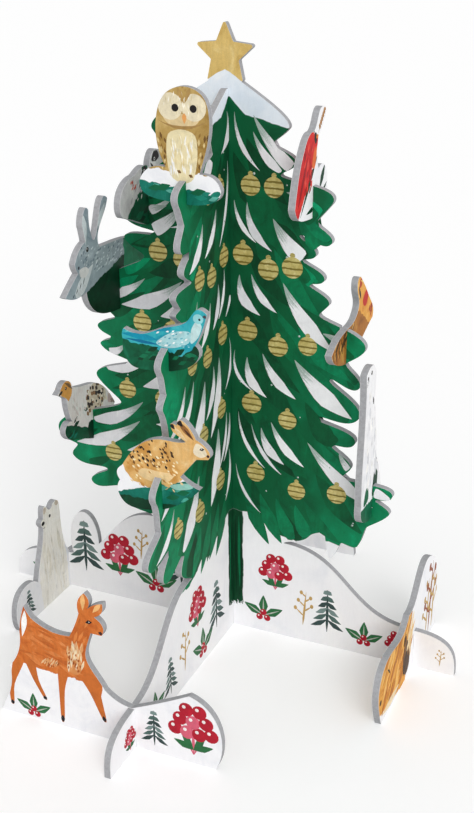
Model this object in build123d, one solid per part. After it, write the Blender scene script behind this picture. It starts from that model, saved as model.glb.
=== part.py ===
from build123d import *
import os
from collections import namedtuple
from math import atan2, cos, dist, pi, radians, sin

# A Christmas tree calendar of thick grey board. Two die-cut tree panels cross at the spine,
# and flat animals are slotted on to the boughs and across the feet.
# Origin on the floor under the spine. +X runs along the right foot, -Y along the front foot.

# Board and fit. A slot is cut SLOT_REACH long, past the edge it opens through.
BOARD = 3.0
SLOT_PLAY = 0.1
SLOT_WIDTH = BOARD + 2 * SLOT_PLAY
SLOT_REACH = 20.0

# Star and crown
TREE_HEIGHT = 280.0
STAR_RADIUS = 13.8
STAR_WAIST = 6.4
STAR_EASE = 0.8
CAP_PITCH = 0.62
CROSS_DROP = 2.0

# Snow hill and feet
HILL_HEIGHT = 50.0
FOOT_HEIGHT = 19.0
RIGHT_FOOT = 110.0
LEFT_FOOT = 120.0
FRONT_FOOT = 124.0
REAR_FOOT = 106.0
FOX_INSET = 21.0
BEAR_INSET = 29.0
DEER_INSET = 23.5
BANK_INSET = 22.0
TOADSTOOL_WIDTH = 16.0
TOADSTOOL_RISE = 25.0
TOADSTOOL_GAP = 2.0

# Boughs: reach of the longest bough of each wing, the slope that they droop at, how softly
# a tip is pointed, and the roundness of tips and notches as a share of the way between them
RIGHT_REACH = 77.0
LEFT_REACH = 89.0
FRONT_REACH = 85.0
REAR_REACH = 80.0
DROOP = radians(35)
SOFT_POINT = radians(3)
TIP_ROUND = 0.40
NOTCH_ROUND = 0.16

# Animals, by their longest side
OWL_HEIGHT = 45.0
BLUE_BIRD_LENGTH = 37.0
BROWN_HARE_HEIGHT = 43.0
BIRD_PAIR_LENGTH = 48.5
GREY_HARE_LENGTH = 74.4
PARTRIDGE_LENGTH = 51.0
RED_BIRD_HEIGHT = 43.3
PHEASANT_LENGTH = 54.0
ERMINE_HEIGHT = 73.0
DEER_LENGTH = 102.0
BEAR_HEIGHT = 54.0
FOX_LENGTH = 88.0
BANK_LENGTH = 68.0

# Heights that follow from those above
STAR_SLOPE = atan2(STAR_WAIST * sin(pi / 5), STAR_RADIUS - STAR_WAIST * cos(pi / 5))
STAR_CENTRE = TREE_HEIGHT - STAR_RADIUS + STAR_EASE * (1 / sin(STAR_SLOPE) - 1)
CROWN = STAR_CENTRE - STAR_RADIUS * cos(pi / 5)
STAR_LEG = (STAR_RADIUS * sin(pi / 5) - STAR_EASE, CROWN + STAR_EASE)
CROSS_TOP = CROWN - CROSS_DROP
SPINE_LAP = CROSS_TOP / 2
FOOT_LAP = FOOT_HEIGHT / 2
CROSSING = (0, FOOT_HEIGHT)
UP = 1
DOWN = -1

# Boughs from the top down, a tip and then the notch under it, in hundredths of the wing's reach
# and of the height from the hill up to the crown. The last notch is where the hill begins.
RIGHT_BOUGHS = [
    (36, 92), (27, 89), (40, 85), (32, 83), (61, 78), (52, 74), (61, 70), (43, 71), (52, 67),
    (45, 66), (57, 62), (49, 61), (60, 57), (55, 55), (81, 48), (71, 45), (79, 40), (62, 41),
    (79, 33), (53, 32), (77, 27), (64, 26), (75, 21), (70, 19), (100, 16), (91, 15), (99, 12),
    (86, 8), (81, 3), (71, 3), (66, -1), (60, 5), (51, 3), (35, 0),
]
LEFT_BOUGHS = [
    (38, 90), (29, 85), (38, 80), (30, 78), (55, 71), (37, 68), (55, 66), (45, 63), (74, 52),
    (63, 48), (73, 45), (65, 43), (72, 41), (56, 38), (75, 33), (62, 28), (100, 17), (90, 15),
    (93, 12), (72, 10), (82, 6), (65, 6), (63, 3), (45, 0),
]
FRONT_BOUGHS = [
    (25, 92), (21, 88), (58, 81), (53, 77), (57, 72), (46, 71), (54, 67), (47, 65), (63, 63),
    (59, 61), (64, 60), (58, 58), (80, 51), (76, 46), (80, 43), (73, 33), (90, 25), (86, 18),
    (100, 12), (78, 12), (85, 6), (62, 8), (65, 3), (54, 0),
]

# A wing is half of a panel: its side of the spine, its boughs and how far they reach,
# the end of its foot and the place of the piece that crosses the foot.
Wing = namedtuple("Wing", "side boughs reach foot cross")
RIGHT = Wing(1, RIGHT_BOUGHS, RIGHT_REACH, RIGHT_FOOT, RIGHT_FOOT - FOX_INSET)
LEFT = Wing(-1, LEFT_BOUGHS, LEFT_REACH, LEFT_FOOT, LEFT_FOOT - BEAR_INSET)
FRONT = Wing(-1, FRONT_BOUGHS, FRONT_REACH, FRONT_FOOT, FRONT_FOOT - DEER_INSET)
REAR = Wing(1, RIGHT_BOUGHS, REAR_REACH, REAR_FOOT, REAR_FOOT - BANK_INSET)


def bough_point(wing, reach, height):
    """Distance from the spine and height of a point on a wing, from its hundredths."""
    return wing.reach * reach / 100, HILL_HEIGHT + (CROWN - HILL_HEIGHT) * height / 100


def outline(*runs):
    """Closed face. Each run is one smooth curve that starts where the run before it ends."""
    edges = []
    start = runs[-1][-1]
    for run in runs:
        points = [start, *run]
        edges.append(Line(*points) if len(points) == 2 else Spline(*points))
        start = run[-1]
    return make_face(edges)


def shares(size, *points):
    """Points in hundredths of a piece's longest side."""
    return [(size * u / 100, size * v / 100) for u, v in points]


def slot(place, lap, way, reach=SLOT_REACH):
    """Straight slot for one board, from its closed end at the lap up (+1) or down (-1)."""
    return Pos(place, lap + way * reach / 2) * Rectangle(SLOT_WIDTH, reach)


def bough_edges(wing, crown):
    """Drooping boughs with rounded tips, from the crown down to the hill."""

    def before(point, distance):
        turn = DROOP - SOFT_POINT
        return point[0] + distance * sin(turn), point[1] + distance * cos(turn)

    def after(point, distance):
        turn = DROOP + SOFT_POINT
        return point[0] - distance * sin(turn), point[1] - distance * cos(turn)

    knots = [bough_point(wing, *share) for share in wing.boughs]
    first = knots[0]
    half_run = (first[0] - crown[0]) / 2
    shoulder = (crown[0] + half_run, crown[1] - CAP_PITCH * half_run)
    edges = [Bezier(crown, shoulder, before(first, TIP_ROUND * half_run), first)]
    rounds = [TIP_ROUND, NOTCH_ROUND]
    for i, (a, b) in enumerate(zip(knots, knots[1:])):
        run = dist(a, b)
        leave = run * rounds[i % 2]
        arrive = run * rounds[(i + 1) % 2]
        edges.append(Bezier(a, after(a, leave), before(b, arrive), b))
    return edges


def wing_face(wing, top, crown):
    """Half of a panel: boughs, a hill that runs out into the foot, and the spine."""
    hill = bough_point(wing, *wing.boughs[-1])
    over = (wing.cross, FOOT_HEIGHT)
    middle = (hill[0] + over[0]) / 2
    toe = (wing.foot, 0)
    edges = bough_edges(wing, crown)
    edges.append(Bezier(hill, (middle, hill[1]), (middle, over[1]), over))
    edges.append(Bezier(over, (wing.foot, FOOT_HEIGHT), (wing.foot, FOOT_LAP), toe))
    edges.append(Polyline(toe, (0, 0), (0, top), crown))
    face = make_face(edges)
    return face if wing.side > 0 else mirror(face, about=Plane.YZ)


def wing_slots(wing, perches):
    """Slots in a wing, open at the top: one for each perched animal and one in the foot."""
    cuts = slot(wing.side * wing.cross, FOOT_LAP, UP)
    for share in perches:
        place, lap = bough_point(wing, *share)
        cuts += slot(wing.side * place, lap, UP)
    return cuts


def star_face():
    """Five-pointed star with eased tips."""
    points = []
    for i in range(10):
        radius = STAR_WAIST if i % 2 else STAR_RADIUS
        points.append((radius * sin(i * pi / 5), radius * cos(i * pi / 5)))
    star = make_face(Polyline(*points, close=True))
    return Pos(0, STAR_CENTRE) * fillet(star.vertices(), STAR_EASE)


def toadstool_bump():
    """Round toadstool cap that stands up from the left hill, clear of the bear."""
    place = LEFT.cross - SLOT_WIDTH / 2 - TOADSTOOL_GAP - TOADSTOOL_WIDTH / 2
    middle = FOOT_HEIGHT + TOADSTOOL_RISE - TOADSTOOL_WIDTH
    return Pos(-place, middle) * Ellipse(TOADSTOOL_WIDTH / 2, TOADSTOOL_WIDTH)


def owl():
    """Owl with a round head, tail down over a snowy perch."""
    size = OWL_HEIGHT
    return outline(
        shares(size, (-39, -3), (-22, -9), (0, -11), (20, -10), (34, -3), (36, 3)),
        shares(size, (32, 11), (16, 16)),
        shares(size, (24, 42), (26, 63), (20, 82), (3, 89), (-15, 82), (-24, 60), (-23, 38), (-16, 20)),
        shares(size, (-35, 16), (-42, 6)),
    )


def blue_bird():
    """Small bird with a long tail, on a sprig."""
    size = BLUE_BIRD_LENGTH
    return outline(
        shares(size, (-49, -9), (-41, -20), (-25, -23), (-5, -22), (15, -18), (33, -9), (40, 1)),
        shares(size, (40, 8), (36, 13)),
        shares(size, (42, 25), (50, 49)),
        shares(size, (39, 53), (28, 40), (0, 28), (-25, 18), (-49, 21)),
        shares(size, (-51, 15), (-50, 8)),
    )


def brown_hare():
    """Crouching hare with its ears laid back, on a sprig."""
    size = BROWN_HARE_HEIGHT
    return outline(
        shares(size, (-44, 10), (-41, 2)),
        shares(size, (-44, -8), (-36, -22), (-18, -25), (0, -22), (23, -11), (43, 7)),
        shares(size, (32, 11), (23, 17)),
        shares(size, (31, 27), (40, 38)),
        shares(size, (52, 40)),
        shares(size, (54, 44), (46, 55), (40, 58)),
        shares(size, (35, 67), (24, 75), (21, 69)),
        shares(size, (15, 70), (17, 62)),
        shares(size, (30, 54)),
        shares(size, (18, 52), (3, 52), (-14, 46), (-28, 33), (-38, 18)),
    )


def bird_pair():
    """Two round birds side by side on a leaf."""
    size = BIRD_PAIR_LENGTH
    return outline(
        shares(size, (-33, 2), (-18, -4), (0, -10), (22, -10), (43, 0)),
        shares(size, (45, 13), (39, 29), (30, 47), (19, 54), (10, 55), (4, 50), (1, 41)),
        shares(size, (-10, 45), (-19, 43), (-27, 40)),
        shares(size, (-42, 37), (-52, 29), (-55, 20), (-53, 11), (-47, 7)),
    )


def grey_hare():
    """Leaping hare with upright ears, forepaws out, over a dark sprig."""
    size = GREY_HARE_LENGTH
    return outline(
        shares(size, (-60, 13), (-41, 12)),
        shares(size, (-37, 2), (-28, -5), (-14, -9), (3, -10), (19, -5), (34, 7)),
        shares(size, (36, 19), (28, 26)),
        shares(size, (10, 31), (-10, 33), (-24, 34)),
        shares(size, (-25, 41), (-18, 51), (-12, 60)),
        shares(size, (-16, 62), (-22, 54), (-31, 40)),
        shares(size, (-34, 50), (-34, 58)),
        shares(size, (-37, 60), (-40, 57), (-41, 49)),
        shares(size, (-39, 41)),
        shares(size, (-46, 38), (-52, 31)),
        shares(size, (-51, 28), (-49, 25)),
        shares(size, (-57, 20), (-64, 15)),
    )


def partridge():
    """Plump ground bird with a short beak and a low tail, on a sprig."""
    size = PARTRIDGE_LENGTH
    return outline(
        shares(
            size,
            (-47, 22), (-52, 17), (-48, 8), (-30, 0), (-10, -8),
            (0, -11), (11, -11), (25, -4), (39, 10),
        ),
        shares(size, (23, 30), (8, 41), (-9, 46), (-22, 49), (-36, 54)),
        shares(size, (-39, 60), (-48, 63), (-55, 58)),
        shares(size, (-61, 55)),
        shares(size, (-53, 51), (-46, 46)),
        shares(size, (-45, 36), (-39, 21)),
    )


def red_bird():
    """Upright bird with its tail down and an ear of corn in its beak, beside a leaf."""
    size = RED_BIRD_HEIGHT
    return outline(
        shares(size, (-40, -8), (-22, -13), (0, -15), (17, -13), (34, -2)),
        shares(size, (36, 12), (33, 24), (24, 31), (11, 29)),
        shares(size, (7, 44), (9, 60)),
        shares(size, (18, 66), (29, 80)),
        shares(size, (23, 85), (14, 84), (8, 77), (-4, 66)),
        shares(size, (-17, 63), (-26, 54), (-36, 39), (-44, 20), (-49, 3)),
    )


def pheasant():
    """Bird with a full breast, a hooked beak and a tail that slopes down."""
    size = PHEASANT_LENGTH
    return outline(
        shares(size, (-33, -3), (-21, -10), (-2, -15), (10, -15), (30, -9), (50, -1), (62, 3)),
        shares(size, (63, 9), (54, 21), (42, 34), (28, 47)),
        shares(size, (22, 46), (21, 38), (26, 25), (20, 17), (0, 13), (-28, 8), (-37, 3)),
    )


def ermine():
    """Slim animal that stands up straight beside a pointed leaf."""
    size = ERMINE_HEIGHT
    return outline(
        shares(size, (-22, -4), (-12, -10), (0, -11), (9, -7), (14, 4)),
        shares(size, (9, 17), (2, 29)),
        shares(size, (0, 50), (-4, 70), (-4, 84), (-7, 89)),
        shares(size, (-15, 90), (-21, 87)),
        shares(size, (-20, 70), (-22, 40), (-23, 5)),
    )


def deer():
    """Young deer that walks on a snow bank, with a toadstool bump past the crossing."""
    size = DEER_LENGTH
    return outline(
        shares(size, (37, 0)),
        shares(size, (40, 10), (37, 24), (26, 32)),
        [*shares(size, (15, 26)), CROSSING],
        shares(size, (-6, 20), (-12, 24)),
        shares(size, (-16, 30), (-20, 38), (-19, 44), (-17, 50)),
        shares(size, (-12, 50)),
        shares(size, (-11, 53), (-15, 58)),
        shares(size, (-11, 62), (-11, 65)),
        shares(size, (-14, 64), (-18, 61)),
        shares(size, (-17, 65), (-19, 68)),
        shares(size, (-22, 64), (-22, 58)),
        shares(size, (-25, 50), (-27, 46)),
        shares(size, (-36, 46), (-45, 50)),
        shares(size, (-47, 53), (-48, 55)),
        shares(size, (-50, 48), (-51, 42)),
        shares(size, (-52, 33), (-57, 24)),
        shares(size, (-57, 16), (-61, 5)),
        shares(size, (-63, 0)),
    )


def bear():
    """Sitting bear with two round ears, and a tuft of grass in front of it."""
    size = BEAR_HEIGHT
    return outline(
        shares(size, (48, 0)),
        [*shares(size, (45, 17), (26, 30)), CROSSING],
        shares(size, (-8, 49), (-12, 72), (-13, 91)),
        shares(size, (-17, 97), (-24, 96)),
        shares(size, (-28, 93), (-32, 95)),
        shares(size, (-37, 100), (-40, 89)),
        shares(size, (-44, 87), (-41, 80)),
        shares(size, (-44, 66), (-50, 50), (-56, 32)),
        shares(size, (-70, 39), (-86, 35), (-93, 18), (-88, 0)),
    )


def fox():
    """Curled fox in front and a round tuft of tall grass behind."""
    size = FOX_LENGTH
    return outline(
        shares(size, (41, 0)),
        shares(size, (41, 22), (35, 44), (26, 51)),
        shares(size, (12, 51), (0, 40), (-12, 37)),
        shares(size, (-26, 31), (-46, 33), (-56, 29), (-60, 20), (-58, 9), (-54, 0)),
    )


def rear_bank():
    """Plain low snow bank."""
    size = BANK_LENGTH
    return outline(
        shares(size, (50, 0)),
        [*shares(size, (46, 13), (24, 24)), CROSSING],
        shares(size, (-24, 24), (-46, 13), (-50, 0)),
    )


# Perched animals: wing, and the bottom of the bough's slot in hundredths as for the boughs
PERCHED = {
    owl: (FRONT, (48, 83)),
    blue_bird: (FRONT, (71, 54)),
    brown_hare: (FRONT, (82, 27)),
    bird_pair: (LEFT, (43, 72)),
    grey_hare: (LEFT, (61, 54)),
    partridge: (LEFT, (81, 20)),
    red_bird: (RIGHT, (48, 78)),
    pheasant: (RIGHT, (69, 49)),
    ermine: (RIGHT, (87, 15)),
}
FOOT_PIECES = {fox: RIGHT, bear: LEFT, deer: FRONT, rear_bank: REAR}


def perches_on(wing):
    """Slot places of the animals on one wing."""
    return [share for carrier, share in PERCHED.values() if carrier is wing]


def crossing_plane(wing, place):
    """Upright plane across a wing, at a distance from the spine."""
    if wing in (RIGHT, LEFT):
        return Plane.YZ.offset(wing.side * place)
    return Plane.XZ.offset(-wing.side * place)


def board(face, plane):
    """Board with its middle on a plane."""
    return extrude(plane * face, amount=BOARD / 2, both=True)


def wide_panel():
    """Panel with the star, slotted from the floor up to the lap."""
    face = star_face() + toadstool_bump()
    for wing in (RIGHT, LEFT):
        face += wing_face(wing, STAR_CENTRE, STAR_LEG)
    for wing in (RIGHT, LEFT):
        face -= wing_slots(wing, perches_on(wing))
    face -= slot(0, SPINE_LAP, DOWN, TREE_HEIGHT)
    return board(face, Plane.XZ)


def cross_panel():
    """Panel slotted from its top down to the lap, so its bottom edge is one strip."""
    crown = (SLOT_WIDTH, CROSS_TOP)
    face = wing_face(FRONT, CROSS_TOP, crown) + wing_face(REAR, CROSS_TOP, crown)
    for wing in (FRONT, REAR):
        face -= wing_slots(wing, perches_on(wing))
    face -= slot(0, SPINE_LAP, UP, TREE_HEIGHT)
    return board(face, Plane.YZ)


os.makedirs("parts", exist_ok=True)
export_step(wide_panel(), "parts/wide_panel.step")
export_step(cross_panel(), "parts/cross_panel.step")
for animal, (wing, share) in PERCHED.items():
    place, lap = bough_point(wing, *share)
    face = Pos(0, lap) * (animal() - slot(0, 0, DOWN))
    export_step(board(face, crossing_plane(wing, place)), f"parts/{animal.__name__}.step")
for animal, wing in FOOT_PIECES.items():
    face = animal() - slot(0, FOOT_LAP, DOWN)
    export_step(board(face, crossing_plane(wing, wing.cross)), f"parts/{animal.__name__}.step")
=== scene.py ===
# %% [markdown]
# A Christmas tree calendar of slotted board
#
# The real object is a table-top tree of thick grey board. Two die-cut panels cross at the spine,
# and flat animals are pressed on to the boughs and across the feet. All the shapes come from the
# CAD model, so this lesson is about print: how to lay gouache, watercolour and gold ink on plain
# boards with nothing but bmesh and shader nodes.

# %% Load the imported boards
from math import cos, radians, sin
from random import Random

import bmesh
import bpy
from mathutils import Matrix, Vector
from mathutils.bvhtree import BVHTree


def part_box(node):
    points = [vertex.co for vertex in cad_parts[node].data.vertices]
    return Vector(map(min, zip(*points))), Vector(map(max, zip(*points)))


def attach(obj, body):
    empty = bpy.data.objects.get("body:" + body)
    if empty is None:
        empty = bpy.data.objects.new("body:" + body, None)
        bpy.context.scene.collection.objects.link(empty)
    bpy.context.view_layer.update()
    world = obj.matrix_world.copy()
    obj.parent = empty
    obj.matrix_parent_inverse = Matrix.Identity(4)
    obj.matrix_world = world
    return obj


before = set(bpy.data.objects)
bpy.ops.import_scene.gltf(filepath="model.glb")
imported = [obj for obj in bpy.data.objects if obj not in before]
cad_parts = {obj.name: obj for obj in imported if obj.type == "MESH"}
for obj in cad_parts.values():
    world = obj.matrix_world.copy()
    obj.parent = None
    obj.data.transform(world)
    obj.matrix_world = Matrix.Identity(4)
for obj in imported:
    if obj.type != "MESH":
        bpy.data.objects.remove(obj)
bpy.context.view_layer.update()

MM = 0.001
BOARD = 3.0
print("boards:", sorted(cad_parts))

# %% [markdown]
# A board's own drawing plane
#
# Every board is flat and upright, so a print is easiest to draw flat: u to the right, v up, and w
# out of the face that the camera sees, all in millimetres. A matrix then stands the drawing up
# where the board is. The thin side of a node's box says which way it faces. An animal is drawn in
# hundredths of its own size, from the closed end of its slot, or from the floor if it stands there.

# %% Stand a drawing up on its board
LAP_HEIGHT = {
    "owl": 221.2, "blue_bird": 161.4, "brown_hare": 105.7, "bird_pair": 198.5, "grey_hare": 161.4,
    "partridge": 91.2, "red_bird": 210.9, "pheasant": 151.1, "ermine": 80.9,
}
HUNDREDTH = {
    "owl": 0.45, "blue_bird": 0.37, "brown_hare": 0.43, "bird_pair": 0.485, "grey_hare": 0.744,
    "partridge": 0.51, "red_bird": 0.433, "pheasant": 0.54, "ermine": 0.73, "deer": 1.02,
    "bear": 0.54, "fox": 0.88,
}


def faces_front(node):
    """True for a board that faces the front foot, false for one that faces the right foot."""
    low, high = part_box(node)
    return high.y - low.y < high.x - low.x


def stand(node):
    """Matrix from a board's drawing, in millimetres, to the row frame, in metres."""
    low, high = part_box(node)
    middle = (low + high) / 2
    if faces_front(node):
        right, out, foot = Vector((1, 0, 0)), Vector((0, -1, 0)), Vector((0, middle.y, 0))
    else:
        right, out, foot = Vector((0, 1, 0)), Vector((1, 0, 0)), Vector((middle.x, 0, 0))
    up = Vector((0, 0, 1))
    turned = Matrix((right * MM, up * MM, out * MM)).transposed().to_4x4()
    turned.translation = foot + up * LAP_HEIGHT.get(node, 0) * MM
    return turned


print("boards that face the front foot:", [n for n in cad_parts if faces_front(n)])

# %% [markdown]
# Ink as thin patches
#
# A print could be one big procedural texture, but crisp shapes such as a beak or a berry are
# much easier as small flat meshes. Each patch starts as a circle or as a few points, is bent into
# a dab, a brush stroke or a rounded field, and carries two things along: its ink colour as a face
# attribute and a UV map that runs along the brush. Rays find where the board is, so a stroke that
# would hang over the edge stops there. Paint that is laid later lies a hair higher. At the end all
# patches are extruded and copied on to the back face, because the boards are printed on both sides.

# %% Colours and ink heights
INK_STEP = 0.008
INK_SINK = 0.05
LOOK_FROM = 5.0
PROBES = 28
SHORTEST = 0.8


def paint(red, green, blue):
    """Linear colour from the red, green and blue that a paint box would show, 0 to 255."""
    shares = [c / 255 for c in (red, green, blue)]
    return [c / 12.92 if c <= 0.04045 else ((c + 0.055) / 1.055) ** 2.4 for c in shares] + [1.0]


def paints(*boxes):
    """Several colours at once."""
    return [paint(*box) for box in boxes]


def blend(first, second, share):
    """Colour between two colours."""
    return [a + (b - a) * share for a, b in zip(first, second)]


print("one layer of ink is", INK_STEP, "mm")


# %% The drawing kit
class Drawing:
    """Patches of ink in a board's own plane, laid over those of another drawing if there is one."""

    def __init__(self, node, under=None):
        self.node = node
        self.unit = HUNDREDTH.get(node, 1.0)
        self.stack = list(under.stack) if under else []
        self.stand = stand(node)
        self.flat = bmesh.new()
        self.ink = self.flat.faces.layers.float_color.new("ink")
        self.brush = self.flat.loops.layers.uv.new("brush")
        self.lift = self.flat.verts.layers.float.new("lift")
        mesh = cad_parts[node].data
        self.solid = BVHTree.FromPolygons(
            [v.co for v in mesh.vertices], [p.vertices for p in mesh.polygons]
        )
        self.way = -(self.stand.to_3x3() @ Vector((0, 0, 1))).normalized()

    def on_board(self, spot):
        """True where the board is under a spot."""
        eye = self.stand @ Vector((spot.x, spot.y, LOOK_FROM))
        return self.solid.ray_cast(eye, self.way, LOOK_FROM * MM)[0] is not None

    def settle(self, spot, anchor):
        """The spot, or the board's edge on the way from it to an anchor."""
        if self.on_board(spot):
            return spot
        off, on = spot, anchor
        for _ in range(7):
            middle = (off + on) / 2
            if self.on_board(middle):
                on = middle
            else:
                off = middle
        return on

    def longest_run(self, line):
        """First and last share of a line's longest stretch on the board."""
        best, begun = (0.0, 0.0), None
        for probe in range(PROBES + 1):
            t = probe / PROBES
            if not self.on_board(line(t)):
                begun = None
                continue
            begun = t if begun is None else begun
            best = max(best, (begun, t), key=lambda run: run[1] - run[0])
        return best

    def lay(self, face, spots, brush, colour):
        """Moves a face's corners to their spots, in millimetres, and inks it on top of the rest."""
        face[self.ink] = colour
        for loop, spot, uv in zip(face.loops, spots, brush):
            loop.vert.co = (spot.x, spot.y, 0)
            loop[self.brush].uv = uv
        left, right = min(s.x for s in spots), max(s.x for s in spots)
        low, high = min(s.y for s in spots), max(s.y for s in spots)
        below = [
            box[4] for box in self.stack
            if box[0] < right and box[1] > left and box[2] < high and box[3] > low
        ]
        level = max(below, default=0) + 1
        self.stack.append((left, right, low, high, level))
        for vert in face.verts:
            vert[self.lift] = level * INK_STEP

    def round_face(self, segments):
        """A new round face of radius 1."""
        made = bmesh.ops.create_circle(self.flat, cap_ends=True, radius=1, segments=segments)
        return made["verts"][0].link_faces[0]

    def dot(self, u, v, radius, colour, squash=1.0, segments=14):
        """A round or oval dab."""
        centre = Vector((u, v)) * self.unit
        if not self.on_board(centre):
            return
        face = self.round_face(segments)
        wide, tall = radius * self.unit, radius * squash * self.unit
        unit = [Vector((loop.vert.co.x, loop.vert.co.y)) for loop in face.loops]
        spots = [self.settle(centre + Vector((p.x * wide, p.y * tall)), centre) for p in unit]
        self.lay(face, spots, unit, colour)

    def stroke(self, start, end, width, colour, bend=0.0, heel=0.55, segments=16):
        """A tapered brush stroke. Bend bows it to its left, heel says where it is widest."""
        start, end = Vector(start) * self.unit, Vector(end) * self.unit
        run = end - start
        side = Vector((-run.y, run.x)).normalized()

        def line(t):
            return start + run * t + side * bend * self.unit * 4 * t * (1 - t)

        first, last = self.longest_run(line)
        if (last - first) * run.length < SHORTEST * self.unit:
            return
        face = self.round_face(segments)
        spots, brush = [], []
        for loop in face.loops:
            x, y = loop.vert.co.x, loop.vert.co.y
            t = first + (last - first) * min(1.0, max(0.0, (x + 1) / 2))
            fat = (t / heel if t < heel else (1 - t) / (1 - heel)) ** 0.7
            reach = width * self.unit / 2 * fat * abs(y) ** 0.25
            spots.append(self.settle(line(t) + side * (reach if y > 0 else -reach), line(t)))
            brush.append((t, y * fat))
        self.lay(face, spots, brush, colour)

    def tick(self, start, end, width, colour):
        """A short, straight stroke."""
        self.stroke(start, end, width, colour, 0, 0.5, 10)

    def patch(self, points, colour, rounds=2, cuts=3):
        """A field from a few points, with its corners rounded by subdividing and smoothing."""
        corners = [self.flat.verts.new((u * self.unit, v * self.unit, 0)) for u, v in points]
        face = self.flat.faces.new(corners)
        bmesh.ops.bisect_edges(self.flat, edges=face.edges[:], cuts=cuts)
        for _ in range(rounds):
            bmesh.ops.smooth_vert(
                self.flat, verts=face.verts[:], factor=0.5,
                use_axis_x=True, use_axis_y=True, use_axis_z=False,
            )
        spots = [Vector((loop.vert.co.x, loop.vert.co.y)) for loop in face.loops]
        centre = sum(spots, Vector((0, 0))) / len(spots)
        size = max((s - centre).length for s in spots)
        brush = [(s - centre) / size for s in spots]
        self.lay(face, [self.settle(s, centre) for s in spots], brush, colour)

    def press(self, name, material):
        """Extrudes the patches by a hair, copies them on to the back face and stands them up."""
        flat = self.flat
        patches = len(flat.faces)
        bmesh.ops.dissolve_degenerate(flat, dist=0.002, edges=flat.edges[:])
        sunk = flat.verts[:]
        raised = bmesh.ops.extrude_face_region(flat, geom=flat.faces[:], use_keep_orig=True)
        for vert in sunk:
            vert.co.z = BOARD / 2 - INK_SINK
        for item in raised["geom"]:
            if isinstance(item, bmesh.types.BMVert):
                item.co.z = BOARD / 2 + item[self.lift]
        everything = flat.verts[:] + flat.edges[:] + flat.faces[:]
        back = bmesh.ops.duplicate(flat, geom=everything)
        for item in back["geom"]:
            if isinstance(item, bmesh.types.BMVert):
                item.co.z = -item.co.z
        bmesh.ops.recalc_face_normals(flat, faces=flat.faces[:])
        bmesh.ops.transform(flat, matrix=self.stand, verts=flat.verts[:])
        mesh = bpy.data.meshes.new(name)
        flat.to_mesh(mesh)
        flat.free()
        mesh.materials.append(material)
        piece = bpy.data.objects.new(name, mesh)
        bpy.context.scene.collection.objects.link(piece)
        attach(piece, "root")
        print(name, "has", patches, "patches of ink")
        return piece


# %% [markdown]
# Shared finishes
#
# Three effects turn up again and again, so each is a node group that is built once. Watercolour
# lets a colour drift between a dark and a light tone in soft blotches, with fine grains of pigment.
# Dry brush breaks a stroke into streaks along its length. Board decides, from the surface normal,
# whether we look at the printed face or at the cut edge, where the grey fibres show.

# %% Node helpers
def feed(tree, socket, value):
    """Links a socket to another one, or sets its value."""
    if isinstance(value, bpy.types.NodeSocket):
        tree.links.new(value, socket)
    else:
        socket.default_value = value


def add(tree, kind, values=None, **settings):
    """A node with its settings and its values or links."""
    made = tree.nodes.new(kind)
    for name, value in settings.items():
        setattr(made, name, value)
    for name, value in (values or {}).items():
        feed(tree, made.inputs[name], value)
    return made


def math_node(tree, operation, first, second=0.0, clamp=False):
    """Result of one math node."""
    values = {0: first} if operation == "ABSOLUTE" else {0: first, 1: second}
    return add(tree, "ShaderNodeMath", values, operation=operation, use_clamp=clamp).outputs[0]


def plus(tree, first, second, clamp=False):
    """Sum of two values."""
    return math_node(tree, "ADD", first, second, clamp)


def minus(tree, first, second):
    """Difference of two values."""
    return math_node(tree, "SUBTRACT", first, second)


def times(tree, first, second, clamp=False):
    """Product of two values."""
    return math_node(tree, "MULTIPLY", first, second, clamp)


def ramp(tree, value, low, high, start=0.0, stop=1.0, smooth=True):
    """A value mapped from one range to another."""
    values = {"Value": value, "From Min": low, "From Max": high, "To Min": start, "To Max": stop}
    kind = "SMOOTHSTEP" if smooth else "LINEAR"
    return add(tree, "ShaderNodeMapRange", values, interpolation_type=kind).outputs["Result"]


def mix(tree, share, first, second):
    """Two colours mixed."""
    made = add(tree, "ShaderNodeMix", data_type="RGBA")
    for index, value in ((0, share), (6, first), (7, second)):
        feed(tree, made.inputs[index], value)
    return made.outputs[2]


def noise(tree, vector, scale, detail=4.0, rough=0.55, warp=0.0):
    """Factor of a noise texture."""
    values = {"Vector": vector, "Scale": scale, "Detail": detail}
    values |= {"Roughness": rough, "Distortion": warp}
    return add(tree, "ShaderNodeTexNoise", values).outputs["Fac"]


def stretch(tree, vector, scale):
    """A vector scaled along each axis."""
    return add(tree, "ShaderNodeMapping", {"Vector": vector, "Scale": scale}).outputs[0]


def tone(tree, colour, value):
    """A colour made lighter or darker."""
    return add(tree, "ShaderNodeHueSaturation", {"Color": colour, "Value": value}).outputs["Color"]


def new_group(name, inputs, outputs):
    """An empty node group with named sockets, and its input and output nodes."""
    kinds = {"c": "NodeSocketColor", "f": "NodeSocketFloat", "v": "NodeSocketVector"}
    made = bpy.data.node_groups.new(name, "ShaderNodeTree")
    for label, kind in inputs.items():
        made.interface.new_socket(label, in_out="INPUT", socket_type=kinds[kind])
    for label, kind in outputs.items():
        made.interface.new_socket(label, in_out="OUTPUT", socket_type=kinds[kind])
    return made, made.nodes.new("NodeGroupInput").outputs, made.nodes.new("NodeGroupOutput").inputs


def place(tree, group, values):
    """A node group placed in a material with its own values."""
    return add(tree, "ShaderNodeGroup", values, node_tree=group).outputs


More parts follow.
